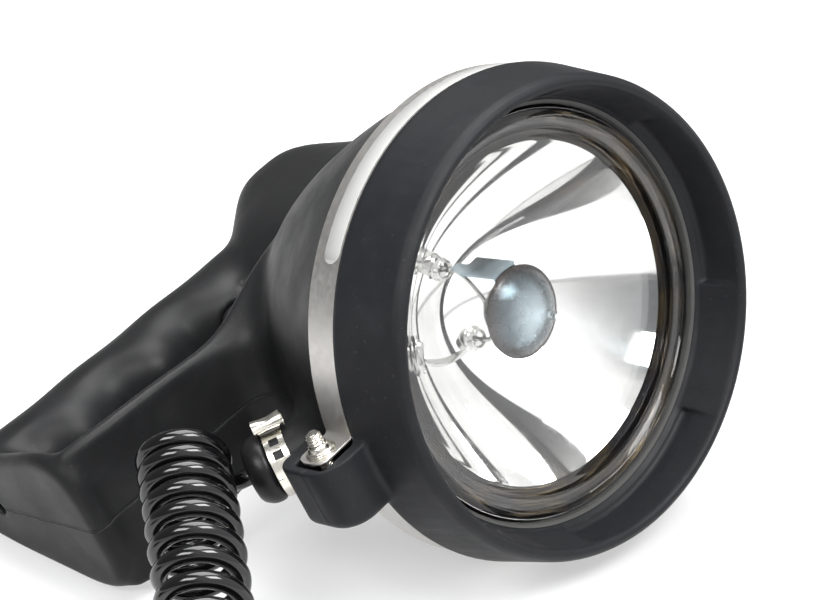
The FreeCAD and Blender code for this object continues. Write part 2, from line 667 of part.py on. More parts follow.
# ---------------------------------------------------------------- free lead
# The free lead, in the resting frame: the coil hangs from the boot and then lies on the ground.
COIL_ROUTE = [V(17.7, -84.4, 62.0), V(42.0, -100.4, 48.2), V(71.5, -120.5, 33.2), V(112, -150, 17.3),
              V(128, -195, 17.1), V(128, -225, 17.1)]
TAIL_ROUTE = [V(128, -225, 3.5), V(128, -256, 3.5), V(107.4, -280.5, 3.7), V(76, -286, 6.2),
              V(48.3, -270, 13.6), V(27.8, -245.5, 13.6)]
PLUG_R = 13.0
PLUG_BOOT, PLUG_BODY, PLUG_PIN = 24.0, 34.0, 17.0


def cord_coil():
    """The whole coil as one thick tube of its outer size."""
    return rounded_route(COIL_ROUTE, COIL_D / 2)


def cord_tail():
    return rounded_route(TAIL_ROUTE, CABLE_D / 2)


def plug_line():
    start, before = TAIL_ROUTE[-1], TAIL_ROUTE[-2]
    return start, (start - before).normalize()


def plug_boot():
    """The tapered strain relief that the lead comes out of."""
    start, out = plug_line()
    cone = Part.makeCone(CABLE_D / 2 + 1.4, 8.0, PLUG_BOOT, start - out * 2, out)
    grooves = [tube(start + out * d, start + out * (d + 1.6), 12, 3.8 + 0.15 * d) for d in (2, 6, 10, 14)]
    for groove in grooves:
        cone = cone.cut(groove)
    return cone.cut(rod(start - out * 3, start + out * 4, CABLE_D / 2 + CLOSE))


def plug_body():
    """The round two-pole plug, with flats for the fingers."""
    start, out = plug_line()
    base = start + out * (PLUG_BOOT - 2)
    body = rod(base, base + out * PLUG_BODY, PLUG_R)
    body = body.makeChamfer(1.6, [e for e in body.Edges if e.Length > 60])
    sideways = out.cross(Z_AXIS).normalize()
    for i in range(8):
        turn = FreeCAD.Rotation(out, 22.5 + 45 * i)
        groove = turn.multVec(sideways) * (PLUG_R + 1.2)
        body = body.cut(rod(base + groove + out * 4, base + groove + out * (PLUG_BODY - 8), 2.0))
    for side in (-1, 1):
        hole = base + sideways * 4.8 * side
        body = body.cut(rod(hole + out * (PLUG_BODY - 10), hole + out * (PLUG_BODY + 1), 1.9))
    return body


def plug_pins():
    """Two round brass pins with rounded ends."""
    start, out = plug_line()
    sideways = out.cross(Z_AXIS).normalize()
    pins = []
    for side in (-1, 1):
        root = start + out * (PLUG_BOOT - 2 + PLUG_BODY - 10) + sideways * 4.8 * side
        tip = root + out * (10 + PLUG_PIN)
        pins.append(rod(root, tip, 1.9 - CLOSE / 2).fuse(Part.makeSphere(1.9 - CLOSE / 2, tip)))
    return Part.makeCompound(pins)


# ---------------------------------------------------------------- resting on its side
def mesh_points(shape):
    return shape.tessellate(0.25)[0]


def resting_up(band, housing):
    """The direction that points up when the lamp lies on its side.

    It rests on the rear edge of the band and on the front and rear corners of the foot.
    """
    foot = [p for p in mesh_points(housing) if p.z < HANDLE_BASE + 14]
    groups = [mesh_points(band), [p for p in foot if p.x > -165], [p for p in foot if p.x < -165]]
    up = V(0.17, -0.94, 0.30)
    for _ in range(12):
        a, b, c = [min(group, key=lambda p: p.dot(up)) for group in groups]
        normal = (b - a).cross(c - a).normalize()
        up = normal if normal.y < 0 else normal * -1
    return up


def rest_turn(up):
    """The rotation that takes up to +Z and the beam's level direction to +X."""
    level_x = (X_AXIS - up * up.x).normalize()
    level_y = up.cross(level_x)
    return FreeCAD.Rotation(level_x, level_y, up, "ZXY").inverted()


def laid_down(shape, turn):
    copy = shape.copy()
    copy.Placement = FreeCAD.Placement(ORIGIN, turn).multiply(shape.Placement)
    return copy


def middle_and_lowest(shapes):
    """The shift that puts the shapes' lowest point on the ground and their middle over the origin."""
    points = [p for shape in shapes for p in mesh_points(shape)]
    low = [min(p[i] for p in points) for i in range(3)]
    high = [max(p[i] for p in points) for i in range(2)]
    return V(-(low[0] + high[0]) / 2, -(low[1] + high[1]) / 2, -low[2])


LAMP_PARTS = {
    "front_hood": front_hood(),
    "rear_housing": rear_housing(),
    "clamp_band": clamp_band(),
    "rating_label": rating_label(),
    "clamp_screw": clamp_screw(),
    "clamp_nut": clamp_nut(),
    "clamp_washers": clamp_washers(),
    "lamp_gasket": lamp_gasket(),
    "retaining_ring": retaining_ring(),
    "lamp_lens": lamp_lens(),
    "lamp_reflector": lamp_reflector(),
    "lead_posts": mirrored(lead_post(1)),
    "lead_ferrules": mirrored(lead_ferrule(1)),
    "filament": filament(),
    "filament_shield": filament_shield(),
    "shield_bracket": shield_bracket(),
    "lamp_terminals": mirrored(lamp_terminal(1)),
    "terminal_screws": mirrored(terminal_screw(1)),
    "terminal_lugs": mirrored(terminal_lug(1)),
    "supply_wires": supply_wires(),
    "cable_stop": cable_stop(),
    "cable_boot": cable_boot(),
    "hose_clamp": hose_clamp(),
    "hose_clamp_ear": clamp_ear(),
    "cord_lead": cord_lead(),
    "trigger_collar": trigger_collar(),
    "trigger_button": trigger_button(),
    "trigger_spring": trigger_spring(),
    "switch_body": switch_body(),
    "switch_bracket": switch_bracket(),
    "switch_screws": Part.makeCompound([switch_screw(-7), switch_screw(7)]),
    "switch_wires": switch_wires(),
}
LEAD_PARTS = {
    "cord_coil": cord_coil(),
    "cord_tail": cord_tail(),
    "plug_boot": plug_boot(),
    "plug_body": plug_body(),
    "plug_pins": plug_pins(),
}

rest = rest_turn(resting_up(LAMP_PARTS["clamp_band"], LAMP_PARTS["rear_housing"]))
laid = {name: laid_down(shape, rest) for name, shape in LAMP_PARTS.items()}
shift = middle_and_lowest([laid[name] for name in ("front_hood", "rear_housing", "clamp_band")])
print("the beam meets the lip at", shift, "and points along", rest.multVec(X_AXIS))
for name, shape in laid.items():
    shape.translate(shift)

os.makedirs("parts", exist_ok=True)
for name, shape in {**laid, **LEAD_PARTS}.items():
    print("%-16s %d solid(s), valid %s, %.2f cm3" % (name, len(shape.Solids), shape.isValid(),
                                                    shape.Volume / 1000))
    shape.exportStep("parts/%s.step" % name)
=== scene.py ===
import json
import math

import bmesh
import bpy
import numpy as np
import openvdb
from mathutils import Matrix, Vector


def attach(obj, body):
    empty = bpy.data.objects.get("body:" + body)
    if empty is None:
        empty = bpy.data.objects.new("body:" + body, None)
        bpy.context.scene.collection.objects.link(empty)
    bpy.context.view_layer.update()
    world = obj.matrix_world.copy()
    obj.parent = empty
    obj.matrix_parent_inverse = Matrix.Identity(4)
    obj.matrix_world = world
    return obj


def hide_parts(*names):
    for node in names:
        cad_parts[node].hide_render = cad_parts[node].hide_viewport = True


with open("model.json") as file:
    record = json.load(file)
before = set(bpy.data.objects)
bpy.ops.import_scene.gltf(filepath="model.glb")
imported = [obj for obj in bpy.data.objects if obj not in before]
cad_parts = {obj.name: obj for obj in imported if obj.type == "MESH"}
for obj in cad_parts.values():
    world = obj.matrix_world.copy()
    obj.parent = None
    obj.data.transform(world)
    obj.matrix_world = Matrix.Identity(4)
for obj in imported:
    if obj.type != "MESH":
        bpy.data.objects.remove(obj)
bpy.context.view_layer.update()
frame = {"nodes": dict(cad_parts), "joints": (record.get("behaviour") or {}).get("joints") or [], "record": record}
NODES = frame["nodes"]
MOUNTS = {m["name"]: m for m in frame["record"]["mounts"]}
MM = 0.001
TAU = 2 * math.pi

# ------------------------------------------------------------------ the lamp's own axes
# The lamp lies tilted on its side. Its pieces are modelled in its own axes, in millimetres:
# +X along the beam, +Z away from the foot of the handle, origin on the beam at the hood's lip.
# Angles about the beam start at the foot's side and turn towards +Y.
BEAM = -Vector(frame["joints"][0]["axis"]).normalized()
TOP = -Vector(MOUNTS["handle_base"]["axis"]).normalized()
SIDE = TOP.cross(BEAM)
FOOT_X, FOOT_Z = -150.0, -143.6
LIP = Vector(MOUNTS["handle_base"]["pos_m"]) - (BEAM * FOOT_X + TOP * FOOT_Z) * MM
LAMP = Matrix.Translation(LIP) @ Matrix((BEAM, SIDE, TOP)).transposed().to_4x4() @ Matrix.Scale(MM, 4)

BAND_FRONT, BAND_REAR = -29.7, -43.1            # the clamp band's edges along the beam
BAND_R, BAND_T = 86.7, 0.8                      # its outer radius and thickness
EAR_Y, EAR_TIP = 10.8, -101.5                   # its ears' inner faces and their ends
SCREW = Vector((-36.4, 0, -95.0))
SCREW_R, SCREW_PITCH = 2.9, 1.25
GLAND = Vector((-72.5, 0, -97.7))               # the cable entry's mouth
GLAND_OUT = Vector((-0.59, 0, -0.81)).normalized()
NECK_R = 11.4
CABLE_D = 6.2
COIL_D = 33.6
GLASS_FRONT = -20.0
GLASS_R = 73.0
MIRROR_R, MIRROR_FOCUS, MIRROR_RIM = 60.5, 20.3, -26.0
MIRROR_APEX = MIRROR_RIM - MIRROR_R ** 2 / (4 * MIRROR_FOCUS)
FILAMENT_X = MIRROR_APEX + MIRROR_FOCUS
SHIELD_X, SHIELD_R, SHIELD_DOME_R = -32.6, 16.7, 21.0
LEAD_HALF = 15.5                                # half the distance between the two leads
FILAMENT_HALF = 3.4
TRIGGER_Z, TRIGGER_MOUTH_R = -26.0, 8.55
HEEL_HOLE_X, HEEL_HOLE_R, HEEL_HOLE_DEPTH = -182.0, 3.0, 12.0


# ------------------------------------------------------------------ materials
def material(name, color, roughness, metallic=0.0, **sockets):
    """A Principled material; keyword names are socket names with underscores."""
    made = bpy.data.materials.new(name)
    made.use_nodes = True
    shader = made.node_tree.nodes["Principled BSDF"]
    shader.inputs["Base Color"].default_value = (*color, 1)
    shader.inputs["Roughness"].default_value = roughness
    shader.inputs["Metallic"].default_value = metallic
    for key, value in sockets.items():
        shader.inputs[key.replace("_", " ")].default_value = value
    return made


class Nodes:
    """Short ways to add and join nodes in one material."""

    def __init__(self, made):
        self.tree = made.node_tree
        self.shader = self.tree.nodes["Principled BSDF"]
        self.place = self.add("ShaderNodeTexCoord").outputs["Object"]

    def add(self, kind, **values):
        node = self.tree.nodes.new(kind)
        for key, value in values.items():
            setattr(node, key, value)
        return node

    def link(self, source, target):
        self.tree.links.new(source, target)

    def noise(self, scale, detail=4.0, roughness=0.55):
        node = self.add("ShaderNodeTexNoise")
        self.link(self.place, node.inputs["Vector"])
        node.inputs["Scale"].default_value = scale
        node.inputs["Detail"].default_value = detail
        node.inputs["Roughness"].default_value = roughness
        return node.outputs["Fac"]

    def ramp(self, source, low, high, start, end):
        """source between low and high, spread over start to end."""
        node = self.add("ShaderNodeMapRange", clamp=True)
        self.link(source, node.inputs["Value"])
        for key, value in zip(("From Min", "From Max", "To Min", "To Max"), (low, high, start, end)):
            node.inputs[key].default_value = value
        return node.outputs["Result"]

    def mix(self, share, first, second):
        node = self.add("ShaderNodeMix", data_type="RGBA")
        self.link(share, node.inputs["Factor"])
        for socket, value in ((node.inputs[6], first), (node.inputs[7], second)):
            if isinstance(value, tuple):
                socket.default_value = (*value, 1)
            else:
                self.link(value, socket)
        return node.outputs[2]

    def along(self, direction):
        """How far a point lies along a direction, in metres."""
        node = self.add("ShaderNodeVectorMath", operation="DOT_PRODUCT")
        self.link(self.place, node.inputs[0])
        node.inputs[1].default_value = direction
        return node.outputs["Value"]

    def maths(self, operation, first, second=0.0):
        node = self.add("ShaderNodeMath", operation=operation)
        for socket, value in zip(node.inputs, (first, second)):
            if isinstance(value, (int, float)):
                socket.default_value = value
            else:
                self.link(value, socket)
        return node.outputs[0]

    def bump(self, height, distance, strength=1.0, under=None):
        node = self.add("ShaderNodeBump")
        node.inputs["Strength"].default_value = strength
        node.inputs["Distance"].default_value = distance
        self.link(height, node.inputs["Height"])
        if under:
            self.link(under, node.inputs["Normal"])
        return node.outputs["Normal"]

    def color(self, source):
        self.link(source, self.shader.inputs["Base Color"])

    def roughness(self, source):
        self.link(source, self.shader.inputs["Roughness"])

    def normal(self, source):
        self.link(source, self.shader.inputs["Normal"])


def rubber(name, dark, pale, roughness, grain=0.00006, seam=None):
    """Moulded rubber: fine grain, faint smears of dust, small pale specks, and paler convex edges that are partly
    dust and wear and partly a painted highlight.

    seam is (direction, distance, (side, start)): a parting line in the plane square to
    direction at distance in metres, drawn only beyond start metres along side.
    """
    made = material(name, dark, roughness, Specular_IOR_Level=0.2)
    n = Nodes(made)
    smear = n.ramp(n.noise(24.0, 6.0, 0.62), 0.46, 0.78, 0.0, 0.5)
    specks = n.ramp(n.noise(1300.0, 2.0, 0.5), 0.70, 0.76, 0.0, 0.6)
    dusty = n.mix(n.maths("MULTIPLY", smear, n.ramp(n.noise(180.0, 5.0), 0.3, 0.7, 0.4, 1.0)), dark, pale)
    skin = n.mix(specks, dusty, tuple(min(1.0, c * 2.4) for c in pale))
    # Convex edges made paler: partly dust and wear, partly a painted highlight along rims and ridges.
    dusty_and_highlit_edges = n.ramp(n.add("ShaderNodeNewGeometry").outputs["Pointiness"], 0.55, 0.64, 0.0, 0.45)
    skin = n.mix(dusty_and_highlit_edges, skin, tuple(c * 1.5 for c in pale))
    n.roughness(n.ramp(n.noise(60.0, 4.0), 0.3, 0.7, roughness - 0.06, roughness + 0.08))
    normal = n.bump(n.noise(2600.0, 3.0, 0.65), grain, 0.7)
    normal = n.bump(n.noise(90.0, 3.0), 0.0003, 0.35, normal)
    if seam:
        direction, distance, (side, start) = seam
        wobble = n.ramp(n.noise(45.0, 3.0), 0.3, 0.7, -0.0005, 0.0005)
        off = n.maths("SUBTRACT", n.along(direction), distance)
        off = n.maths("ABSOLUTE", n.maths("ADD", off, wobble))
        near = n.ramp(off, 0.0, 0.00045, 1.0, 0.0)
        near = n.maths("MULTIPLY", near, n.ramp(n.along(side), start, start + 0.004, 0.0, 1.0))
        skin = n.mix(n.maths("MULTIPLY", near, 0.8), skin, tuple(c * 0.3 for c in dark))
        edge = n.ramp(off, 0.0003, 0.0011, 1.0, 0.0)
        normal = n.bump(n.maths("SUBTRACT", edge, n.maths("MULTIPLY", near, 1.6)), 0.0004, 0.8, normal)
    n.color(skin)
    n.normal(normal)
    return made


def steel(name, color, roughness, wear=0.06):
    """Steel with a fine grain and small marks."""
    made = material(name, color, roughness, 1.0)
    n = Nodes(made)
    brushed = n.noise(500.0, 3.0, 0.6)
    marks = n.noise(90.0, 5.0, 0.6)
    n.roughness(n.ramp(brushed, 0.3, 0.7, roughness - wear, roughness + wear))
    n.color(n.mix(n.ramp(marks, 0.5, 0.8, 0.0, 0.4), color, tuple(c * 0.78 for c in color)))
    n.normal(n.bump(brushed, 0.00002, 0.35))
    return made


def plain(name, color, roughness, metallic=0.0, scale=300.0, height=0.00004, **sockets):
    """A plain finish with a little variation in colour, gloss and surface."""
    made = material(name, color, roughness, metallic, **sockets)
    n = Nodes(made)
    n.color(n.mix(n.ramp(n.noise(40.0), 0.35, 0.7, 0.0, 1.0), color, tuple(c * 0.85 for c in color)))
    n.roughness(n.ramp(n.noise(120.0), 0.3, 0.7, max(0.02, roughness - 0.05), roughness + 0.05))
    n.normal(n.bump(n.noise(scale, 3.0), height, 0.4))
    return made


HOUSING = rubber("housing_rubber", (0.0065, 0.0067, 0.0072), (0.022, 0.0225, 0.024), 0.44,
                 seam=(SIDE, SIDE.dot(LIP), (-TOP, -TOP.dot(LIP) + 0.060)))
HOOD = rubber("hood_rubber", (0.0060, 0.0064, 0.0078), (0.024, 0.025, 0.028), 0.50,
              seam=(BEAM, BEAM.dot(LIP) - 0.037, (-TOP, -TOP.dot(LIP) + 0.0885)))
SOFT = rubber("boot_rubber", (0.006, 0.006, 0.0065), (0.016, 0.016, 0.017), 0.32, 0.00004)
SEAL = rubber("seal_rubber", (0.03, 0.03, 0.029), (0.07, 0.07, 0.068), 0.5)
BAND_STEEL = steel("band_steel", (0.60, 0.585, 0.56), 0.38)
CLIP_STEEL = steel("clip_steel", (0.66, 0.64, 0.58), 0.22)
SCREW_STEEL = steel("screw_steel", (0.55, 0.53, 0.48), 0.26)
LABEL = plain("label_white", (0.29, 0.29, 0.283), 0.5)
PLATE = plain("plate_metal", (0.26, 0.33, 0.36), 0.2, 1.0)
NICKEL = plain("nickel", (0.62, 0.62, 0.60), 0.16, 1.0)
BRASS = plain("brass", (0.78, 0.60, 0.30), 0.25, 1.0)
TUNGSTEN = plain("tungsten", (0.25, 0.25, 0.24), 0.4, 1.0)
PLASTIC = plain("black_plastic", (0.012, 0.012, 0.013), 0.42, 0.0, 700.0, 0.00008)
CORD = plain("cord_black", (0.003, 0.003, 0.0034), 0.12, 0.0, 500.0, 0.00002, Specular_IOR_Level=0.5)
ZINC = plain("zinc", (0.55, 0.56, 0.58), 0.35, 1.0)
WIRE = plain("wire_black", (0.02, 0.02, 0.022), 0.4)
MIRROR = plain("mirror_silver", (0.93, 0.93, 0.92), 0.02, 1.0, 12.0, 0.0)


def shield_lacquer_highlit():
    """The shield's blue-grey lacquer with a painted highlight: pale and blue in the middle, brown towards the rim.
    """
    made = material("pearl_metal", (0.3, 0.36, 0.4), 0.27, 0.75)
    n = Nodes(made)
    spread = None
    for direction in (SIDE, TOP):
        off = n.maths("SUBTRACT", n.along(direction), direction.dot(LIP))
        square = n.maths("MULTIPLY", off, off)
        spread = n.maths("ADD", spread, square) if spread else square
    uneven = n.ramp(n.noise(70.0), 0.3, 0.7, -0.0003, 0.0003)
    radius = n.maths("ADD", n.maths("SQRT", spread), uneven)
    # The pale blue middle is a painted highlight that fades into the lacquer's darker blue-grey.
    inner = n.mix(n.ramp(radius, 0.001, 0.0110, 0.0, 1.0), (0.46, 0.56, 0.60), (0.07, 0.10, 0.115))
    n.color(n.mix(n.ramp(radius, 0.0115, 0.0160, 0.0, 1.0), inner, (0.03, 0.022, 0.019)))
    n.roughness(n.ramp(n.noise(200.0), 0.3, 0.7, 0.22, 0.34))
    return made


def rim_metal():
    """The dark silvering behind the glass rim, with a brassy tint in patches."""
    made = material("rim_silvering", (0.12, 0.115, 0.1), 0.16, 0.95)
    n = Nodes(made)
    brassy = n.ramp(n.noise(55.0, 4.0), 0.42, 0.68, 0.0, 1.0)
    n.color(n.mix(brassy, (0.030, 0.030, 0.032), (0.11, 0.08, 0.04)))
    n.roughness(n.ramp(n.noise(300.0), 0.3, 0.7, 0.05, 0.14))
    n.normal(n.bump(n.noise(400.0, 3.0), 0.00002, 0.4))
    return made


def clear_glass():
    made = material("clear_glass", (1, 1, 1), 0.0)
    shader = made.node_tree.nodes["Principled BSDF"]
    shader.inputs["Transmission Weight"].default_value = 1.0
    shader.inputs["IOR"].default_value = 1.47
    return made


SHIELD = shield_lacquer_highlit()
RIM = rim_metal()
GLASS = clear_glass()


# ------------------------------------------------------------------ mesh building
def piece(name, shape, made, node, sharp=None):
    """A mesh object from (points in the lamp's millimetres, faces), standing for a CAD node."""
    verts, faces = shape
    mesh = bpy.data.meshes.new(name)
    mesh.from_pydata([tuple(v) for v in verts], [], [tuple(int(i) for i in f) for f in faces])
    mesh.transform(LAMP)
    finish_mesh(name, mesh, made, node, sharp)


def finish_mesh(name, mesh, made, node, sharp=None):
    """Cleans a mesh and makes it an object; sharp is the angle in degrees that stays an edge."""
    work = bmesh.new()
    work.from_mesh(mesh)
    bmesh.ops.remove_doubles(work, verts=work.verts, dist=1e-7)
    bmesh.ops.recalc_face_normals(work, faces=work.faces)
    work.to_mesh(mesh)
    work.free()
    mesh.materials.clear()
    mesh.materials.append(made)
    mesh.shade_smooth()
    if sharp:
        mesh.set_sharp_from_angle(angle=math.radians(sharp))
    made_object = bpy.data.objects.new(name, mesh)
    bpy.context.scene.collection.objects.link(made_object)
    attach(made_object, "lamp")
    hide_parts(node)


def basis(axis):
    """Two directions square to axis and to each other."""
    axis = Vector(axis).normalized()
    first = axis.cross(Vector((0, 1, 0)))
    first = (axis.cross(Vector((0, 0, 1))) if first.length < 0.1 else first).normalized()
    return axis, first, axis.cross(first)


def grid(rows, wrap=False):
    """Points and quads from closed rows of points; wrap joins the last row to the first."""
    count = len(rows[0])
    verts = [p for row in rows for p in row]
    faces = []
    for i in range(len(rows) if wrap else len(rows) - 1):
        j = (i + 1) % len(rows)
        for k in range(count):
            m = (k + 1) % count
            faces.append((i * count + k, i * count + m, j * count + m, j * count + k))
    return verts, faces


def capped(rows):
    """A solid from closed rows of points, with its two ends closed."""
    verts, faces = grid(rows)
    count = len(rows[0])
    faces.append(tuple(reversed(range(count))))
    faces.append(tuple((len(rows) - 1) * count + k for k in range(count)))
    return verts, faces


def rings(origin, axis, levels, radius, count):
    """Rows round an axis: radius(angle, distance) at each distance along it."""
    axis, first, second = basis(axis)
    rows = []
    for distance in levels:
        row = []
        for k in range(count):
            a = TAU * k / count
            r = radius(a, distance)
            row.append(Vector(origin) + axis * distance + (first * math.cos(a) + second * math.sin(a)) * r)
        rows.append(row)
    return rows


def lathe(profile, count, origin=(0, 0, 0), axis=(1, 0, 0)):
    """A turned solid from a closed profile of (distance along the axis, radius) corners."""
    axis, first, second = basis(axis)
    rows = []
    for x, r in profile:
        r = max(r, 1e-4)
        rows.append([Vector(origin) + axis * x + (first * math.cos(a) + second * math.sin(a)) * r
                     for a in (TAU * k / count for k in range(count))])
    return grid(rows, wrap=True)


def rounded(profile, radius, steps=4):
    """A closed profile with every corner rounded by at most radius."""
    points = [Vector(p) for p in profile]
    out = []
    for i, corner in enumerate(points):
        before, after = points[i - 1], points[(i + 1) % len(points)]
        reach = min(radius, 0.45 * (corner - before).length, 0.45 * (after - corner).length)
        a = corner + (before - corner).normalized() * reach
        b = corner + (after - corner).normalized() * reach
        for k in range(steps + 1):
            t = k / steps
            out.append(tuple(a * (1 - t) ** 2 + corner * 2 * t * (1 - t) + b * t ** 2))
    return out


def joined(shapes):
    """Several shapes as one."""
    verts, faces = [], []
    for shape_verts, shape_faces in shapes:
        start = len(verts)
        verts += list(shape_verts)
        faces += [tuple(i + start for i in f) for f in shape_faces]
    return verts, faces


def tube_along(points, radius, count):
    """A round tube through points, with flat ends."""
    points = [Vector(p) for p in points]
    rows = []
    side = None
    for i, p in enumerate(points):
        ahead = (points[min(i + 1, len(points) - 1)] - points[max(i - 1, 0)]).normalized()
        if side is None:
            side = basis(ahead)[1]
        side = (side - ahead * side.dot(ahead)).normalized()
        up = ahead.cross(side)
        rows.append([p + (side * math.cos(TAU * k / count) + up * math.sin(TAU * k / count)) * radius
                     for k in range(count)])
    return capped(rows)


def strip(path, outward, across, width, thickness, end_radius, bevel=0.14):
    """A flat strip along a path: width lies along across, thickness along outward(point index)."""
    points = [Vector(p) for p in path]
    lengths = [0.0]
    for a, b in zip(points, points[1:]):
        lengths.append(lengths[-1] + (b - a).length)
    rows = []
    for i, p in enumerate(points):
        to_end = min(lengths[i], lengths[-1] - lengths[i])
        cut = 0.0
        if to_end < end_radius:
            cut = end_radius - math.sqrt(max(0.0, end_radius ** 2 - (end_radius - to_end) ** 2))
        half = max(width / 2 - cut, 0.02)
        b = min(bevel, half * 0.5)
        corners = [(-half, b), (-half + b, 0), (half - b, 0), (half, b), (half, thickness - b),
                   (half - b, thickness), (-half + b, thickness), (-half, thickness - b)]
        rows.append([p + Vector(across) * u + outward(i) * v for u, v in corners])
    return capped(rows)


# ------------------------------------------------------------------ soft moulded shells
def level_set(points, triangles, voxel, reach):
    """Distances from a closed mesh, negative inside it, true up to reach millimetres away."""
    transform = openvdb.createLinearTransform(voxelSize=voxel)
    return openvdb.FloatGrid.createLevelSetFromPolygons(
        np.asarray(points, np.float32), triangles=np.asarray(triangles, np.uint32),
        transform=transform, halfWidth=reach / voxel + 3)


def triangles_of(node):
    """A CAD node's points in the lamp's millimetres, and its triangles."""
    mesh = NODES[node].data
    mesh.calc_loop_triangles()
    points = np.empty(len(mesh.vertices) * 3)
    mesh.vertices.foreach_get("co", points)
    triangles = np.empty(len(mesh.loop_triangles) * 3, np.int32)
    mesh.loop_triangles.foreach_get("vertices", triangles)
    inverse = np.array(LAMP.inverted())
    points = points.reshape(-1, 3) @ inverse[:3, :3].T + inverse[:3, 3]
    return points, triangles.reshape(-1, 3)


def surface(level, iso):
    """The mesh at iso millimetres from a level set's zero."""
    points, triangles, quads = level.convertToPolygons(iso, 0.0)
    triangles = np.concatenate([triangles, quads[:, [0, 1, 2]], quads[:, [0, 2, 3]]])
    return points, triangles[:, ::-1]


def to_array(level, low, shape):
    """A level set's values in the box of voxels that starts at low."""
    values = np.full(shape, level.background, np.float32)
    level.copyToArray(values, ijk=tuple(int(i) for i in low))
    return values


def blurred(values, passes):
    """The values averaged with their neighbours along each axis."""
    for _ in range(passes):
        for axis in range(3):
            values = (np.roll(values, 1, axis) + values * 2 + np.roll(values, -1, axis)) / 4
    return values


def moulded(name, node, voxel, fillet, made, passes, keep=None, carve=None, sink=None):
    """A CAD node's shape with its inner corners filleted and its edges eased.

    Growing the solid by the fillet radius and shrinking it again fills only inner corners.
    keep(x, y, z) is 1 where the CAD shape stays and 0 elsewhere, and carve(x, y, z) is a
    distance field that is cut away afterwards. sink(x, y, z) is how far the surface is pressed in.
    """
    margin, limit = 6, 3 * voxel
    points, triangles = triangles_of(node)
    plain_level = level_set(points, triangles, voxel, fillet)
    grown_points, grown_triangles = surface(plain_level, fillet)
    grown = level_set(grown_points, grown_triangles, voxel, fillet)
    low = np.floor(points.min(0) / voxel).astype(int) - margin
    shape = tuple(np.ceil(points.max(0) / voxel).astype(int) + margin + 1 - low)
    original = to_array(plain_level, low, shape)
    closed = to_array(grown, low, shape) + fillet
    axes = [(np.arange(n) + start) * voxel for n, start in zip(shape, low)]
    x, y, z = np.meshgrid(*axes, indexing="ij", sparse=True)
    field = np.minimum(original, closed)
    if keep:
        share = keep(x, y, z)
        field = field * (1 - share) + original * share
    if sink:
        field = field + sink(x, y, z)
    field = blurred(np.clip(field, -limit, limit), passes)
    if carve:
        field = np.maximum(field, -carve(x, y, z))
    result = openvdb.FloatGrid(limit)
    result.transform = openvdb.createLinearTransform(voxelSize=voxel)
    result.copyFromArray(field.astype(np.float32), ijk=tuple(int(i) for i in low))
    points, triangles, quads = result.convertToPolygons(0.0, 0.0)
    mesh = bpy.data.meshes.new(name)
    mesh.from_pydata(points.tolist(), [], triangles[:, ::-1].tolist() + quads[:, ::-1].tolist())
    mesh.transform(LAMP)
    finish_mesh(name, mesh, made, node)


def stays_as_cad(x, y, z):
    """1 round the switch chamber behind the trigger and from the band forward, 0 elsewhere."""
    inside = (np.sqrt(y ** 2 + (z - TRIGGER_Z) ** 2) < 15) & (x < -166)
    front = (x > BAND_REAR - 0.5)
    return (inside | front).astype(np.float32)


def recesses(x, y, z):
    """Distances to the recess that the trigger's collar stands in, and the hole in the foot."""
    ends = np.maximum(x + 140, -174.5 - x)
    mouth = np.maximum(np.sqrt(y ** 2 + (z - TRIGGER_Z) ** 2) - TRIGGER_MOUTH_R, ends)
    hole = np.sqrt(y ** 2 + (x - HEEL_HOLE_X) ** 2) - HEEL_HOLE_R
    return np.minimum(mouth, np.maximum(hole, z - (FOOT_Z + HEEL_HOLE_DEPTH)))


def finger_waves(x, y, z):
    """The hollows between the fingers, deeper than the CAD grip has them."""
    first, last, ease, spacing, depth = -34, -132, 10, 40, 2.2
    along = np.clip((first - z) / ease, 0, 1) * np.clip((z - last) / ease, 0, 1)
    inward = np.clip((x + 184) / 12, 0, 1) * (x < -145)
    return depth / 2 * (1 - np.cos(TAU * (z + 24) / spacing)) * along * inward


moulded("housing", "rear_housing", 0.9, 12.0, HOUSING, 2,
        stays_as_cad, recesses, finger_waves)
moulded("hood", "front_hood", 0.5, 1.2, HOOD, 1)


# ------------------------------------------------------------------ clamp band
def ring_point(angle, radius, x=0.0):
    """A point round the beam."""
    return Vector((x, radius * math.sin(angle), -radius * math.cos(angle)))


def build_band():
    """The strap all the way round, with its two ends bent out into ears."""
    bend = 2.2
    middle = (BAND_FRONT + BAND_REAR) / 2
    inner = BAND_R - BAND_T
    gap = math.asin((EAR_Y + bend) / (inner + bend))
    path, outward = [], []
    ear_length = -EAR_TIP - (inner + bend) * math.cos(gap)
    for i in range(14):
        path.append(Vector((middle, EAR_Y, EAR_TIP + ear_length * i / 13)))
        outward.append(Vector((0, 1, 0)))
    centre = Vector((0, EAR_Y + bend, -(inner + bend) * math.cos(gap)))
    for i in range(1, 8):
        a = (math.pi / 2 - gap) * i / 8
        path.append(Vector((middle, centre.y - bend * math.cos(a), centre.z + bend * math.sin(a))))
        outward.append(Vector((0, math.cos(a), -math.sin(a))))
    steps = 220
    for i in range(steps + 1):
        a = gap + (TAU - 2 * gap) * i / steps
        path.append(ring_point(a, inner, middle))
        outward.append(ring_point(a, 1.0))
    half = len(path) - steps - 1
    for p, o in reversed(list(zip(path[:half], outward[:half]))):
        path.append(Vector((p.x, -p.y, p.z)))
        outward.append(Vector((o.x, -o.y, o.z)))
    shape = strip(path, lambda i: outward[i], (1, 0, 0), BAND_FRONT - BAND_REAR, BAND_T, 4.0)
    piece("clamp_strap", shape, BAND_STEEL, "clamp_band", sharp=40)


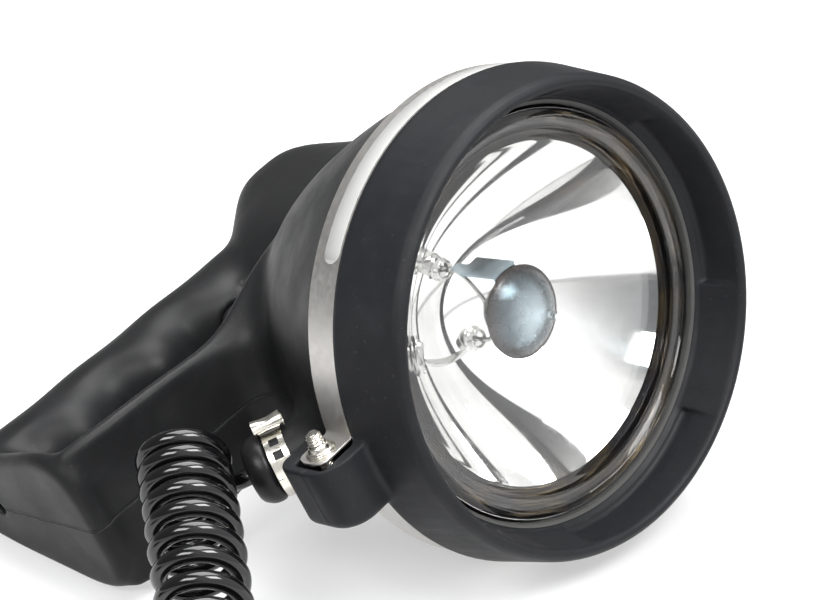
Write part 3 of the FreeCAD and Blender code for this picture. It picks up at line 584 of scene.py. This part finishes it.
def build_label():
    """The blank white strip stuck on the band, round at both ends."""
    width, thickness = 0.58 * (BAND_FRONT - BAND_REAR), 0.22
    middle = BAND_FRONT - 0.5 * width - 0.9
    start, end = math.radians(192), math.radians(313.5)
    steps = 120
    radius = BAND_R + 0.03
    shares = [0.5 - 0.5 * math.cos(math.pi * i / steps) for i in range(steps + 1)]
    angles = [start + (end - start) * share for share in shares]
    path = [ring_point(a, radius, middle) for a in angles]
    out = [ring_point(a, 1.0) for a in angles]
    shape = strip(path, lambda i: out[i], (1, 0, 0), width, thickness, width / 2 - 0.01, 0.06)
    piece("rating_strip", shape, LABEL, "rating_label", sharp=50)


build_band()
build_label()


# ------------------------------------------------------------------ clamp screw
def build_screw():
    """The threaded shank and its round head."""
    start, end = -EAR_Y - 8.6, EAR_Y + 1.6
    levels = [start + (end - start) * i / 200 for i in range(201)]

    def thread(a, d):
        phase = (d / SCREW_PITCH - a / TAU) % 1.0
        chamfer = min(1.0, (d - start) / 1.3)
        return (SCREW_R - 0.62 * abs(2 * phase - 1)) * (0.7 + 0.3 * chamfer)

    shank = capped(rings(SCREW, (0, 1, 0), levels, thread, 48))
    profile = rounded([(end, 0.2), (end, 4.6), (end + 3.4, 4.3), (end + 3.8, 0.2)], 0.9)
    head = lathe(profile, 48, SCREW, (0, 1, 0))
    piece("band_screw", joined([shank, head]), SCREW_STEEL, "clamp_screw", sharp=50)


def build_nut():
    """A low round nut with a flange, pressed into the band's ear."""
    profile = [(-EAR_Y - 1.45, 3.0), (-EAR_Y - 1.45, 5.2), (-EAR_Y - 2.0, 5.0), (-EAR_Y - 2.3, 4.1),
               (-EAR_Y - 3.6, 3.7), (-EAR_Y - 4.0, 3.3), (-EAR_Y - 4.0, 3.0)]
    shape = lathe(rounded(profile, 0.25, 3), 72, SCREW, (0, 1, 0))
    piece("band_nut", shape, SCREW_STEEL, "clamp_nut", sharp=50)


def build_washers():
    """One washer on the outside of each ear."""
    shapes = []
    for y0, y1 in ((-EAR_Y - 1.45, -EAR_Y - 0.42), (EAR_Y + 0.42, EAR_Y + 1.5)):
        profile = rounded([(y0, 3.0), (y0, 5.4), (y1, 5.4), (y1, 3.0)], 0.2)
        shapes.append(lathe(profile, 64, SCREW, (0, 1, 0)))
    piece("band_washers", joined(shapes), SCREW_STEEL, "clamp_washers", sharp=40)


build_screw()
build_nut()
build_washers()


# ------------------------------------------------------------------ sealed beam
def build_lens():
    """The clear glass, with the stepped rings of its rim."""
    edge, crown, thickness, steps = MIRROR_R + 1.5, 4.6, 3.5, 32
    dome = [(GLASS_FRONT + crown * (1 - (i / steps) ** 2), edge * i / steps) for i in range(steps + 1)]
    rim = [(0, 63.2), (-0.8, 64.6), (-1.0, 66.0), (-0.3, 67.0), (-0.2, 68.6), (-0.8, 69.4), (-0.6, 71.0),
           (-1.2, 72.3), (-2.4, GLASS_R), (-4.0, GLASS_R), (-4.0, MIRROR_R + 2.5)]
    rim = [(GLASS_FRONT + x, r) for x, r in rim]
    inside = [(x - thickness, r) for x, r in reversed(dome)]
    piece("lens", lathe(dome + rim + inside, 256), GLASS, "lamp_lens")


def bowl(offset, steps=72):
    """The reflector's profile from its rim to its apex, offset outwards."""
    return [(MIRROR_APEX + r * r / (4 * MIRROR_FOCUS) - offset, r + offset * 0.6)
            for r in (MIRROR_R * (1 - i / steps) for i in range(steps + 1))]


def build_reflector():
    """The mirror's parabola, and the ridged rim that the glass is fused to."""
    inner = list(reversed(bowl(0.0)))
    outer = bowl(3.0)
    shape = lathe(inner + outer, 256)
    piece("reflector", shape, MIRROR, "lamp_reflector", sharp=40)
    front = GLASS_FRONT - 4.3
    ridges = [(front - 2.4, MIRROR_R + 0.3), (front - 0.6, MIRROR_R + 0.9)]
    for i in range(5):
        r = MIRROR_R + 1.6 + 2.1 * i
        ridges += [(front - 1.5, r), (front - 1.7, r + 0.7), (front - 0.5, r + 1.1), (front - 0.4, r + 1.5)]
    ridges += [(front - 0.6, GLASS_R - 0.3), (front - 4.4, GLASS_R - 0.3), (front - 4.4, MIRROR_R + 5.0)]
    shape = lathe(rounded(ridges, 0.35, 3), 256)
    piece("reflector_rim", shape, RIM, "lamp_reflector", sharp=50)


def build_ferrules():
    """The metal cups that the leads come through, standing on the mirror."""
    base = MIRROR_APEX + LEAD_HALF ** 2 / (4 * MIRROR_FOCUS)
    profile = [(base - 6, 1.0), (base - 6, 2.4), (base + 0.2, 2.4), (base + 0.2, 4.6), (base + 1.0, 4.6),
               (base + 1.4, 3.9), (base + 3.8, 3.7), (base + 4.0, 3.3), (base + 2.4, 3.0),
               (base + 2.2, 1.0)]
    profile = rounded(profile, 0.3, 3)
    shapes = [lathe(profile, 48, (0, side * LEAD_HALF, 0)) for side in (-1, 1)]
    piece("ferrules", joined(shapes), NICKEL, "lead_ferrules", sharp=50)


def curve_points(controls, count=40):
    """A smooth line through a few control points (a uniform quadratic B-spline with fixed ends)."""
    controls = [Vector(c) for c in controls]
    controls = [controls[0]] + controls + [controls[-1]]
    out = []
    spans = len(controls) - 2
    for i in range(count + 1):
        t = spans * i / count
        k = min(int(t), spans - 1)
        u = t - k
        a, b, c = controls[k:k + 3]
        out.append(a * (1 - u) ** 2 / 2 + b * (0.5 + u * (1 - u)) + c * u ** 2 / 2)
    return out


def build_leads():
    """The two stiff wires that carry the filament."""
    shapes = []
    for side in (-1, 1):
        y = side * LEAD_HALF
        controls = [(-80, y, 0), (-66, y, 0), (-58, y, 0), (-54, side * 11, 0),
                    (FILAMENT_X, side * 4.2, 0), (FILAMENT_X, side * FILAMENT_HALF, 0)]
        shapes.append(tube_along(curve_points(controls), 0.85, 16))
    piece("leads", joined(shapes), NICKEL, "lead_posts")


def build_filament():
    """A coil of fine wire between the ends of the leads."""
    turns, radius, steps = 9, 0.75, 160
    points = []
    for i in range(steps + 1):
        a = TAU * turns * i / steps
        points.append((FILAMENT_X + radius * math.cos(a), -FILAMENT_HALF + 2 * FILAMENT_HALF * i / steps,
                       radius * math.sin(a)))
    piece("filament_coil", tube_along(points, 0.12, 8), TUNGSTEN, "filament")


def build_shield():
    """The domed cap in front of the filament, with a flat rim."""
    edge, steps = SHIELD_R - 1.4, 27
    sink = math.sqrt(SHIELD_DOME_R ** 2 - edge ** 2)
    outer = []
    for i in range(steps + 1):
        r = edge * i / steps
        outer.append((SHIELD_X - sink + math.sqrt(SHIELD_DOME_R ** 2 - r * r), r))
    rim = [(SHIELD_X - 0.2, SHIELD_R - 1.0), (SHIELD_X - 0.3, SHIELD_R - 0.3), (SHIELD_X - 0.7, SHIELD_R),
           (SHIELD_X - 1.1, SHIELD_R - 0.4), (SHIELD_X - 1.0, SHIELD_R - 1.6)]
    inner = [(x - 0.7, r) for x, r in reversed(outer)]
    piece("shield", lathe(outer + rim + inner, 128), SHIELD, "filament_shield")


build_lens()
build_reflector()
build_ferrules()
build_leads()
build_filament()
build_shield()


# ------------------------------------------------------------------ cable entry
def gland_point(distance, angle=0.0, radius=0.0):
    """A point round the cable entry, with angle 0 towards the hood."""
    across = GLAND_OUT.cross(Vector((0, 1, 0))).normalized()
    out = across * math.cos(angle) - Vector((0, 1, 0)) * math.sin(angle)
    return GLAND + GLAND_OUT * distance + out * radius


def build_boot():
    """The soft boot that the cable comes out of."""
    profile = rounded([(-32.9, CABLE_D / 2 + 0.1), (-32.9, 7.5), (-3.95, 7.5), (-3.95, NECK_R + 1.0),
                       (1.0, NECK_R + 1.2), (5.0, NECK_R - 1.5), (5.0, CABLE_D / 2 + 2.6),
                       (-1.0, CABLE_D / 2 + 1.9), (-4, CABLE_D / 2 + 0.1)], 2.6, 6)
    piece("boot", lathe(profile, 96, GLAND, GLAND_OUT), SOFT, "cable_boot")


def build_clip():
    """The stainless clip round the neck, with two windows beside its lug."""
    start, width, rail = -11.6, 7.4, 2.0
    windows = [(math.radians(33), math.radians(47)), (math.radians(57), math.radians(71))]
    spans = [(windows[-1][1], TAU + windows[0][0]), (windows[0][1], windows[1][0])]
    parts = [(0, TAU, start, rail), (0, TAU, start + width - rail, rail)]
    parts += [(a, b, start + rail, width - 2 * rail) for a, b in spans]
    shapes = []
    for first, last, place, wide in parts:
        steps = max(6, int((last - first) * 20))
        angles = [first + (last - first) * i / steps for i in range(steps + 1)]
        path = [gland_point(place + wide / 2, a, NECK_R + 0.06) for a in angles]
        out = [(gland_point(0, a, 1.0) - GLAND).normalized() for a in angles]
        shapes.append(strip(path, lambda i, out=out: out[i], GLAND_OUT, wide, 0.7, 0.0, 0.02))
    piece("neck_clip", joined(shapes), CLIP_STEEL, "hose_clamp", sharp=40)


def build_clip_ear():
    """The clip's end, folded up and rolled over into a lug, pinched in the middle."""
    start, width = -13.6, 10.6
    middle = start + width / 2
    hub = gland_point(middle, math.radians(92), NECK_R + 0.8 + 3.2)
    radial = (hub - gland_point(middle)).normalized()
    tangent = GLAND_OUT.cross(radial)
    rows = []
    steps, across = 72, 14
    for i in range(steps + 1):
        turn = math.radians(330) * i / steps - math.radians(12)
        direction = radial * -math.cos(turn) + tangent * math.sin(turn)
        outer, inner = [], []
        for k in range(across + 1):
            u = 2 * k / across - 1
            dent = 0.9 * math.exp(-(u / 0.4) ** 2) * math.exp(-((turn - 3.1) / 0.6) ** 2)
            pinch = 3.0 + 0.5 * abs(u) ** 1.5 - dent
            squash = 1 - 0.18 * abs(math.cos(turn))
            place = hub + GLAND_OUT * (u * width / 2)
            outer.append(place + direction * pinch * squash)
            inner.append(place + direction * (pinch * squash - 0.65))
        rows.append(outer + list(reversed(inner)))
    piece("clip_lug", capped(rows), CLIP_STEEL, "hose_clamp_ear", sharp=45)


build_boot()
build_clip()
build_clip_ear()


# ------------------------------------------------------------------ coiled lead
# The coil's line and the cord's end are in the resting frame, in millimetres. LEADS is the loop
# that climbs behind the coil to its top, as (turned degrees, distance from the line, place along
# it). PITCHES gives the pitch of the turns at places along the line.
COIL_ROUTE = [(17.7, -84.4, 62.0), (42.0, -100.4, 48.2), (71.5, -120.5, 33.2), (112, -150, 17.3),
              (128, -195, 17.1), (128, -225, 17.1)]
TAIL_END = [(122.5, -231, 3.5), (119.5, -241, 3.5), (116.5, -257, 3.5), (103.5, -279, 3.7), (76, -286, 6.2),
            (48.3, -270, 13.6), (27.8, -245.5, 13.6)]
LEADS = [(22, 20.4, 8.4), (46, 18.9, 5.4), (70, 16.6, 3.6), (95, 14.4, 3.1)]
PITCHES = [(0, 6.4), (10, 6.6), (22, 7.6), (34, 8.8), (46, 10.0), (60, 11.2), (76, 11.2), (100, 6.8),
           (400, 6.8)]
PER_TURN = 16


def nurbs(name, points, made):
    """A NURBS curve in the resting frame through control points in millimetres."""
    data = bpy.data.curves.new(name, "CURVE")
    data.dimensions = "3D"
    spline = data.splines.new("NURBS")
    spline.points.add(len(points) - 1)
    for point, place in zip(spline.points, points):
        point.co = (*(Vector(place) * MM), 1)
        point.radius = CABLE_D / 2 * MM
    spline.order_u = 3
    spline.use_endpoint_u = True
    spline.resolution_u = 4
    data.bevel_depth = 1.0
    data.bevel_resolution = 5
    data.use_fill_caps = True
    data.materials.append(made)
    curve = bpy.data.objects.new(name, data)
    bpy.context.scene.collection.objects.link(curve)
    return curve


def line_of(points):
    """The route's own smooth line, and the length up to each of its points, in millimetres."""
    route = nurbs("route", points, CORD)
    route.data.bevel_depth = 0.0
    route.data.splines[0].resolution_u = 48
    mesh = bpy.data.meshes.new_from_object(route)
    fine = [v.co / MM for v in mesh.vertices]
    bpy.data.meshes.remove(mesh)
    bpy.data.objects.remove(route)
    lengths = [0.0]
    for a, b in zip(fine, fine[1:]):
        lengths.append(lengths[-1] + (b - a).length)
    return fine, lengths


def at_length(fine, lengths, where):
    """The point and the direction of a line at a length along it."""
    k = min(max(int(np.searchsorted(lengths, where)), 1), len(fine) - 1)
    share = (where - lengths[k - 1]) / max(lengths[k] - lengths[k - 1], 1e-9)
    return fine[k - 1].lerp(fine[k], min(max(share, 0.0), 1.0)), (fine[k] - fine[k - 1]).normalized()


def coil_turns(start, leads):
    """The cord from its first loop behind the coil, round the coil's turns, to the ground.

    The coil is left-handed. start is where the cord leaves the lamp, and angles are turned
    about the coil's line from the side that faces it. leads gives the loop that climbs from
    there to the top of the coil.
    """
    fine, lengths = line_of(COIL_ROUTE)
    radius = (COIL_D - CABLE_D) / 2
    centre, ahead = at_length(fine, lengths, 0.0)
    side = start - centre
    side = (side - ahead * side.dot(ahead)).normalized()

    def place(where, turned, distance):
        nonlocal side
        middle, ahead = at_length(fine, lengths, where)
        side = (side - ahead * side.dot(ahead)).normalized()
        across = ahead.cross(side)
        a = math.radians(turned)
        return middle + (side * math.cos(a) - across * math.sin(a)) * distance

    points = [place(where, turned, distance) for turned, distance, where in leads]
    turned, where = leads[-1][0] + 18.0, leads[-1][2]
    last_turn = lengths[-1] - 28.0
    while True:
        points.append(place(where, turned, radius))
        middle = at_length(fine, lengths, where)[0]
        if where > last_turn and points[-1].x - middle.x > 0.94 * radius:
            break
        turned += 360.0 / PER_TURN
        where += float(np.interp(where, *zip(*PITCHES))) / PER_TURN
    while points[-1].z > COIL_D / 2 - 0.97 * radius:
        turned += 360.0 / PER_TURN
        where = min(where + 3.2, lengths[-1])
        points.append(place(where, turned, radius))
    return points


def build_cord():
    """The whole lead as one open curve; returns it, where it leaves the boot, and its length."""
    exit_point = LAMP @ gland_point(5.0) / MM
    out = (LAMP.to_3x3() @ GLAND_OUT).normalized()
    inside = LAMP @ gland_point(-12.0) / MM
    turns = coil_turns(exit_point, LEADS)
    points = [inside, exit_point, exit_point + out * 4.0] + turns + [Vector(p) for p in TAIL_END]
    cord = nurbs("supply_cord", points, CORD)
    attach(cord, "lamp")
    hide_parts("cord_lead", "cord_coil", "cord_tail")
    return cord, exit_point, measured(cord)


def measured(curve):
    """The curve's own length in metres."""
    depth = curve.data.bevel_depth
    curve.data.bevel_depth = 0.0
    mesh = bpy.data.meshes.new_from_object(curve)
    curve.data.bevel_depth = depth
    places = [v.co.copy() for v in mesh.vertices]
    bpy.data.meshes.remove(mesh)
    return sum((b - a).length for a, b in zip(places, places[1:]))


cord, cord_exit, cord_length = build_cord()

for name, made in (("plug_boot", SOFT), ("plug_body", PLASTIC), ("plug_pins", BRASS), ("lamp_gasket", SEAL),
                   ("retaining_ring", ZINC), ("shield_bracket", PLATE), ("lamp_terminals", BRASS),
                   ("terminal_screws", BRASS), ("terminal_lugs", ZINC), ("supply_wires", WIRE),
                   ("cable_stop", PLASTIC), ("trigger_collar", PLASTIC), ("trigger_button", SOFT),
                   ("trigger_spring", ZINC), ("switch_body", PLASTIC), ("switch_bracket", ZINC),
                   ("switch_screws", ZINC), ("switch_wires", WIRE)):
    mesh = NODES[name].data
    mesh.materials.clear()
    mesh.materials.append(made)


# ------------------------------------------------------------------ floor, light and camera
def build_floor():
    """A pale sweep that glows a little near the lamp and fades to grey with distance."""
    mesh = bpy.data.meshes.new("floor")
    half = 40.0
    corners = [(-half, -half, 0), (half, -half, 0), (half, half, 0), (-half, half, 0)]
    mesh.from_pydata(corners, [], [(0, 1, 2, 3)])
    made = material("floor_white", (0.40, 0.40, 0.405), 0.22, Emission_Color=(1, 1, 1, 1))
    n = Nodes(made)
    reach = n.add("ShaderNodeVectorMath", operation="LENGTH")
    n.link(n.place, reach.inputs[0])
    faded = n.ramp(reach.outputs["Value"], 0.9, 2.4, 0.0, 1.0)
    n.color(n.mix(faded, (0.40, 0.40, 0.405), (0.22, 0.22, 0.225)))
    n.link(n.ramp(reach.outputs["Value"], 0.9, 2.0, 0.50, 0.0), n.shader.inputs["Emission Strength"])
    mesh.materials.append(made)
    floor = bpy.data.objects.new("floor", mesh)
    bpy.context.scene.collection.objects.link(floor)


def area_light(name, place, target, size, power):
    data = bpy.data.lights.new(name, "AREA")
    data.shape = "RECTANGLE"
    data.size, data.size_y = size
    data.energy = power
    lamp_object = bpy.data.objects.new(name, data)
    lamp_object.location = place
    direction = Vector(target) - Vector(place)
    lamp_object.rotation_euler = direction.to_track_quat("-Z", "Y").to_euler()
    bpy.context.scene.collection.objects.link(lamp_object)


def build_world():
    """A plain studio: a bright wall in front of the lamp, and dimmer walls and ceiling elsewhere."""
    world = bpy.data.worlds.new("studio")
    world.use_nodes = True
    tree = world.node_tree
    place = tree.nodes.new("ShaderNodeTexCoord")
    toward = tree.nodes.new("ShaderNodeVectorMath")
    toward.operation = "DOT_PRODUCT"
    toward.inputs[1].default_value = (0.86, 0.35, 0.36)
    ramp = tree.nodes.new("ShaderNodeMapRange")
    ramp.interpolation_type = "SMOOTHSTEP"
    tree.links.new(place.outputs["Generated"], toward.inputs[0])
    tree.links.new(toward.outputs["Value"], ramp.inputs["Value"])
    for key, value in zip(("From Min", "From Max", "To Min", "To Max"), (0.10, 0.62, 0.26, 1.3)):
        ramp.inputs[key].default_value = value
    tree.links.new(ramp.outputs["Result"], tree.nodes["Background"].inputs["Strength"])
    tree.nodes["Background"].inputs["Color"].default_value = (1, 1, 1, 1)
    bpy.context.scene.world = world


def build_camera():
    """A long lens, low over the front of the lamp, rolled a little."""
    data = bpy.data.cameras.new("camera")
    data.lens = 107.14
    data.sensor_width = 36.0
    camera = bpy.data.objects.new("camera", data)
    # where it stands, looks and has its top, in the lamp's own axes
    place = LAMP @ Vector((603.52, -399.14, -454.09))
    forward = (LAMP.to_3x3() @ Vector((-0.75214, 0.4353, 0.49476))).normalized()
    up = (LAMP.to_3x3() @ Vector((-0.08002, -0.80555, 0.5871))).normalized()
    right = forward.cross(up).normalized()
    turned = Matrix((right, right.cross(forward), -forward)).transposed().to_4x4()
    camera.matrix_world = Matrix.Translation(place) @ turned
    bpy.context.scene.collection.objects.link(camera)
    bpy.context.scene.camera = camera


build_floor()
build_world()
build_camera()
area_light("key", (0.3, -1.35, 1.25), (0, 0, 0.05), (0.95, 0.6), 24)
area_light("fill", (1.05, -0.05, 1.35), (0, 0, 0.05), (0.8, 0.55), 26)
area_light("ceiling", (-0.5, 0.6, 2.6), (-0.5, 0.6, 0), (2.2, 2.2), 120)
bpy.context.view_layer.update()
bpy.context.scene.view_settings.view_transform = "Standard"
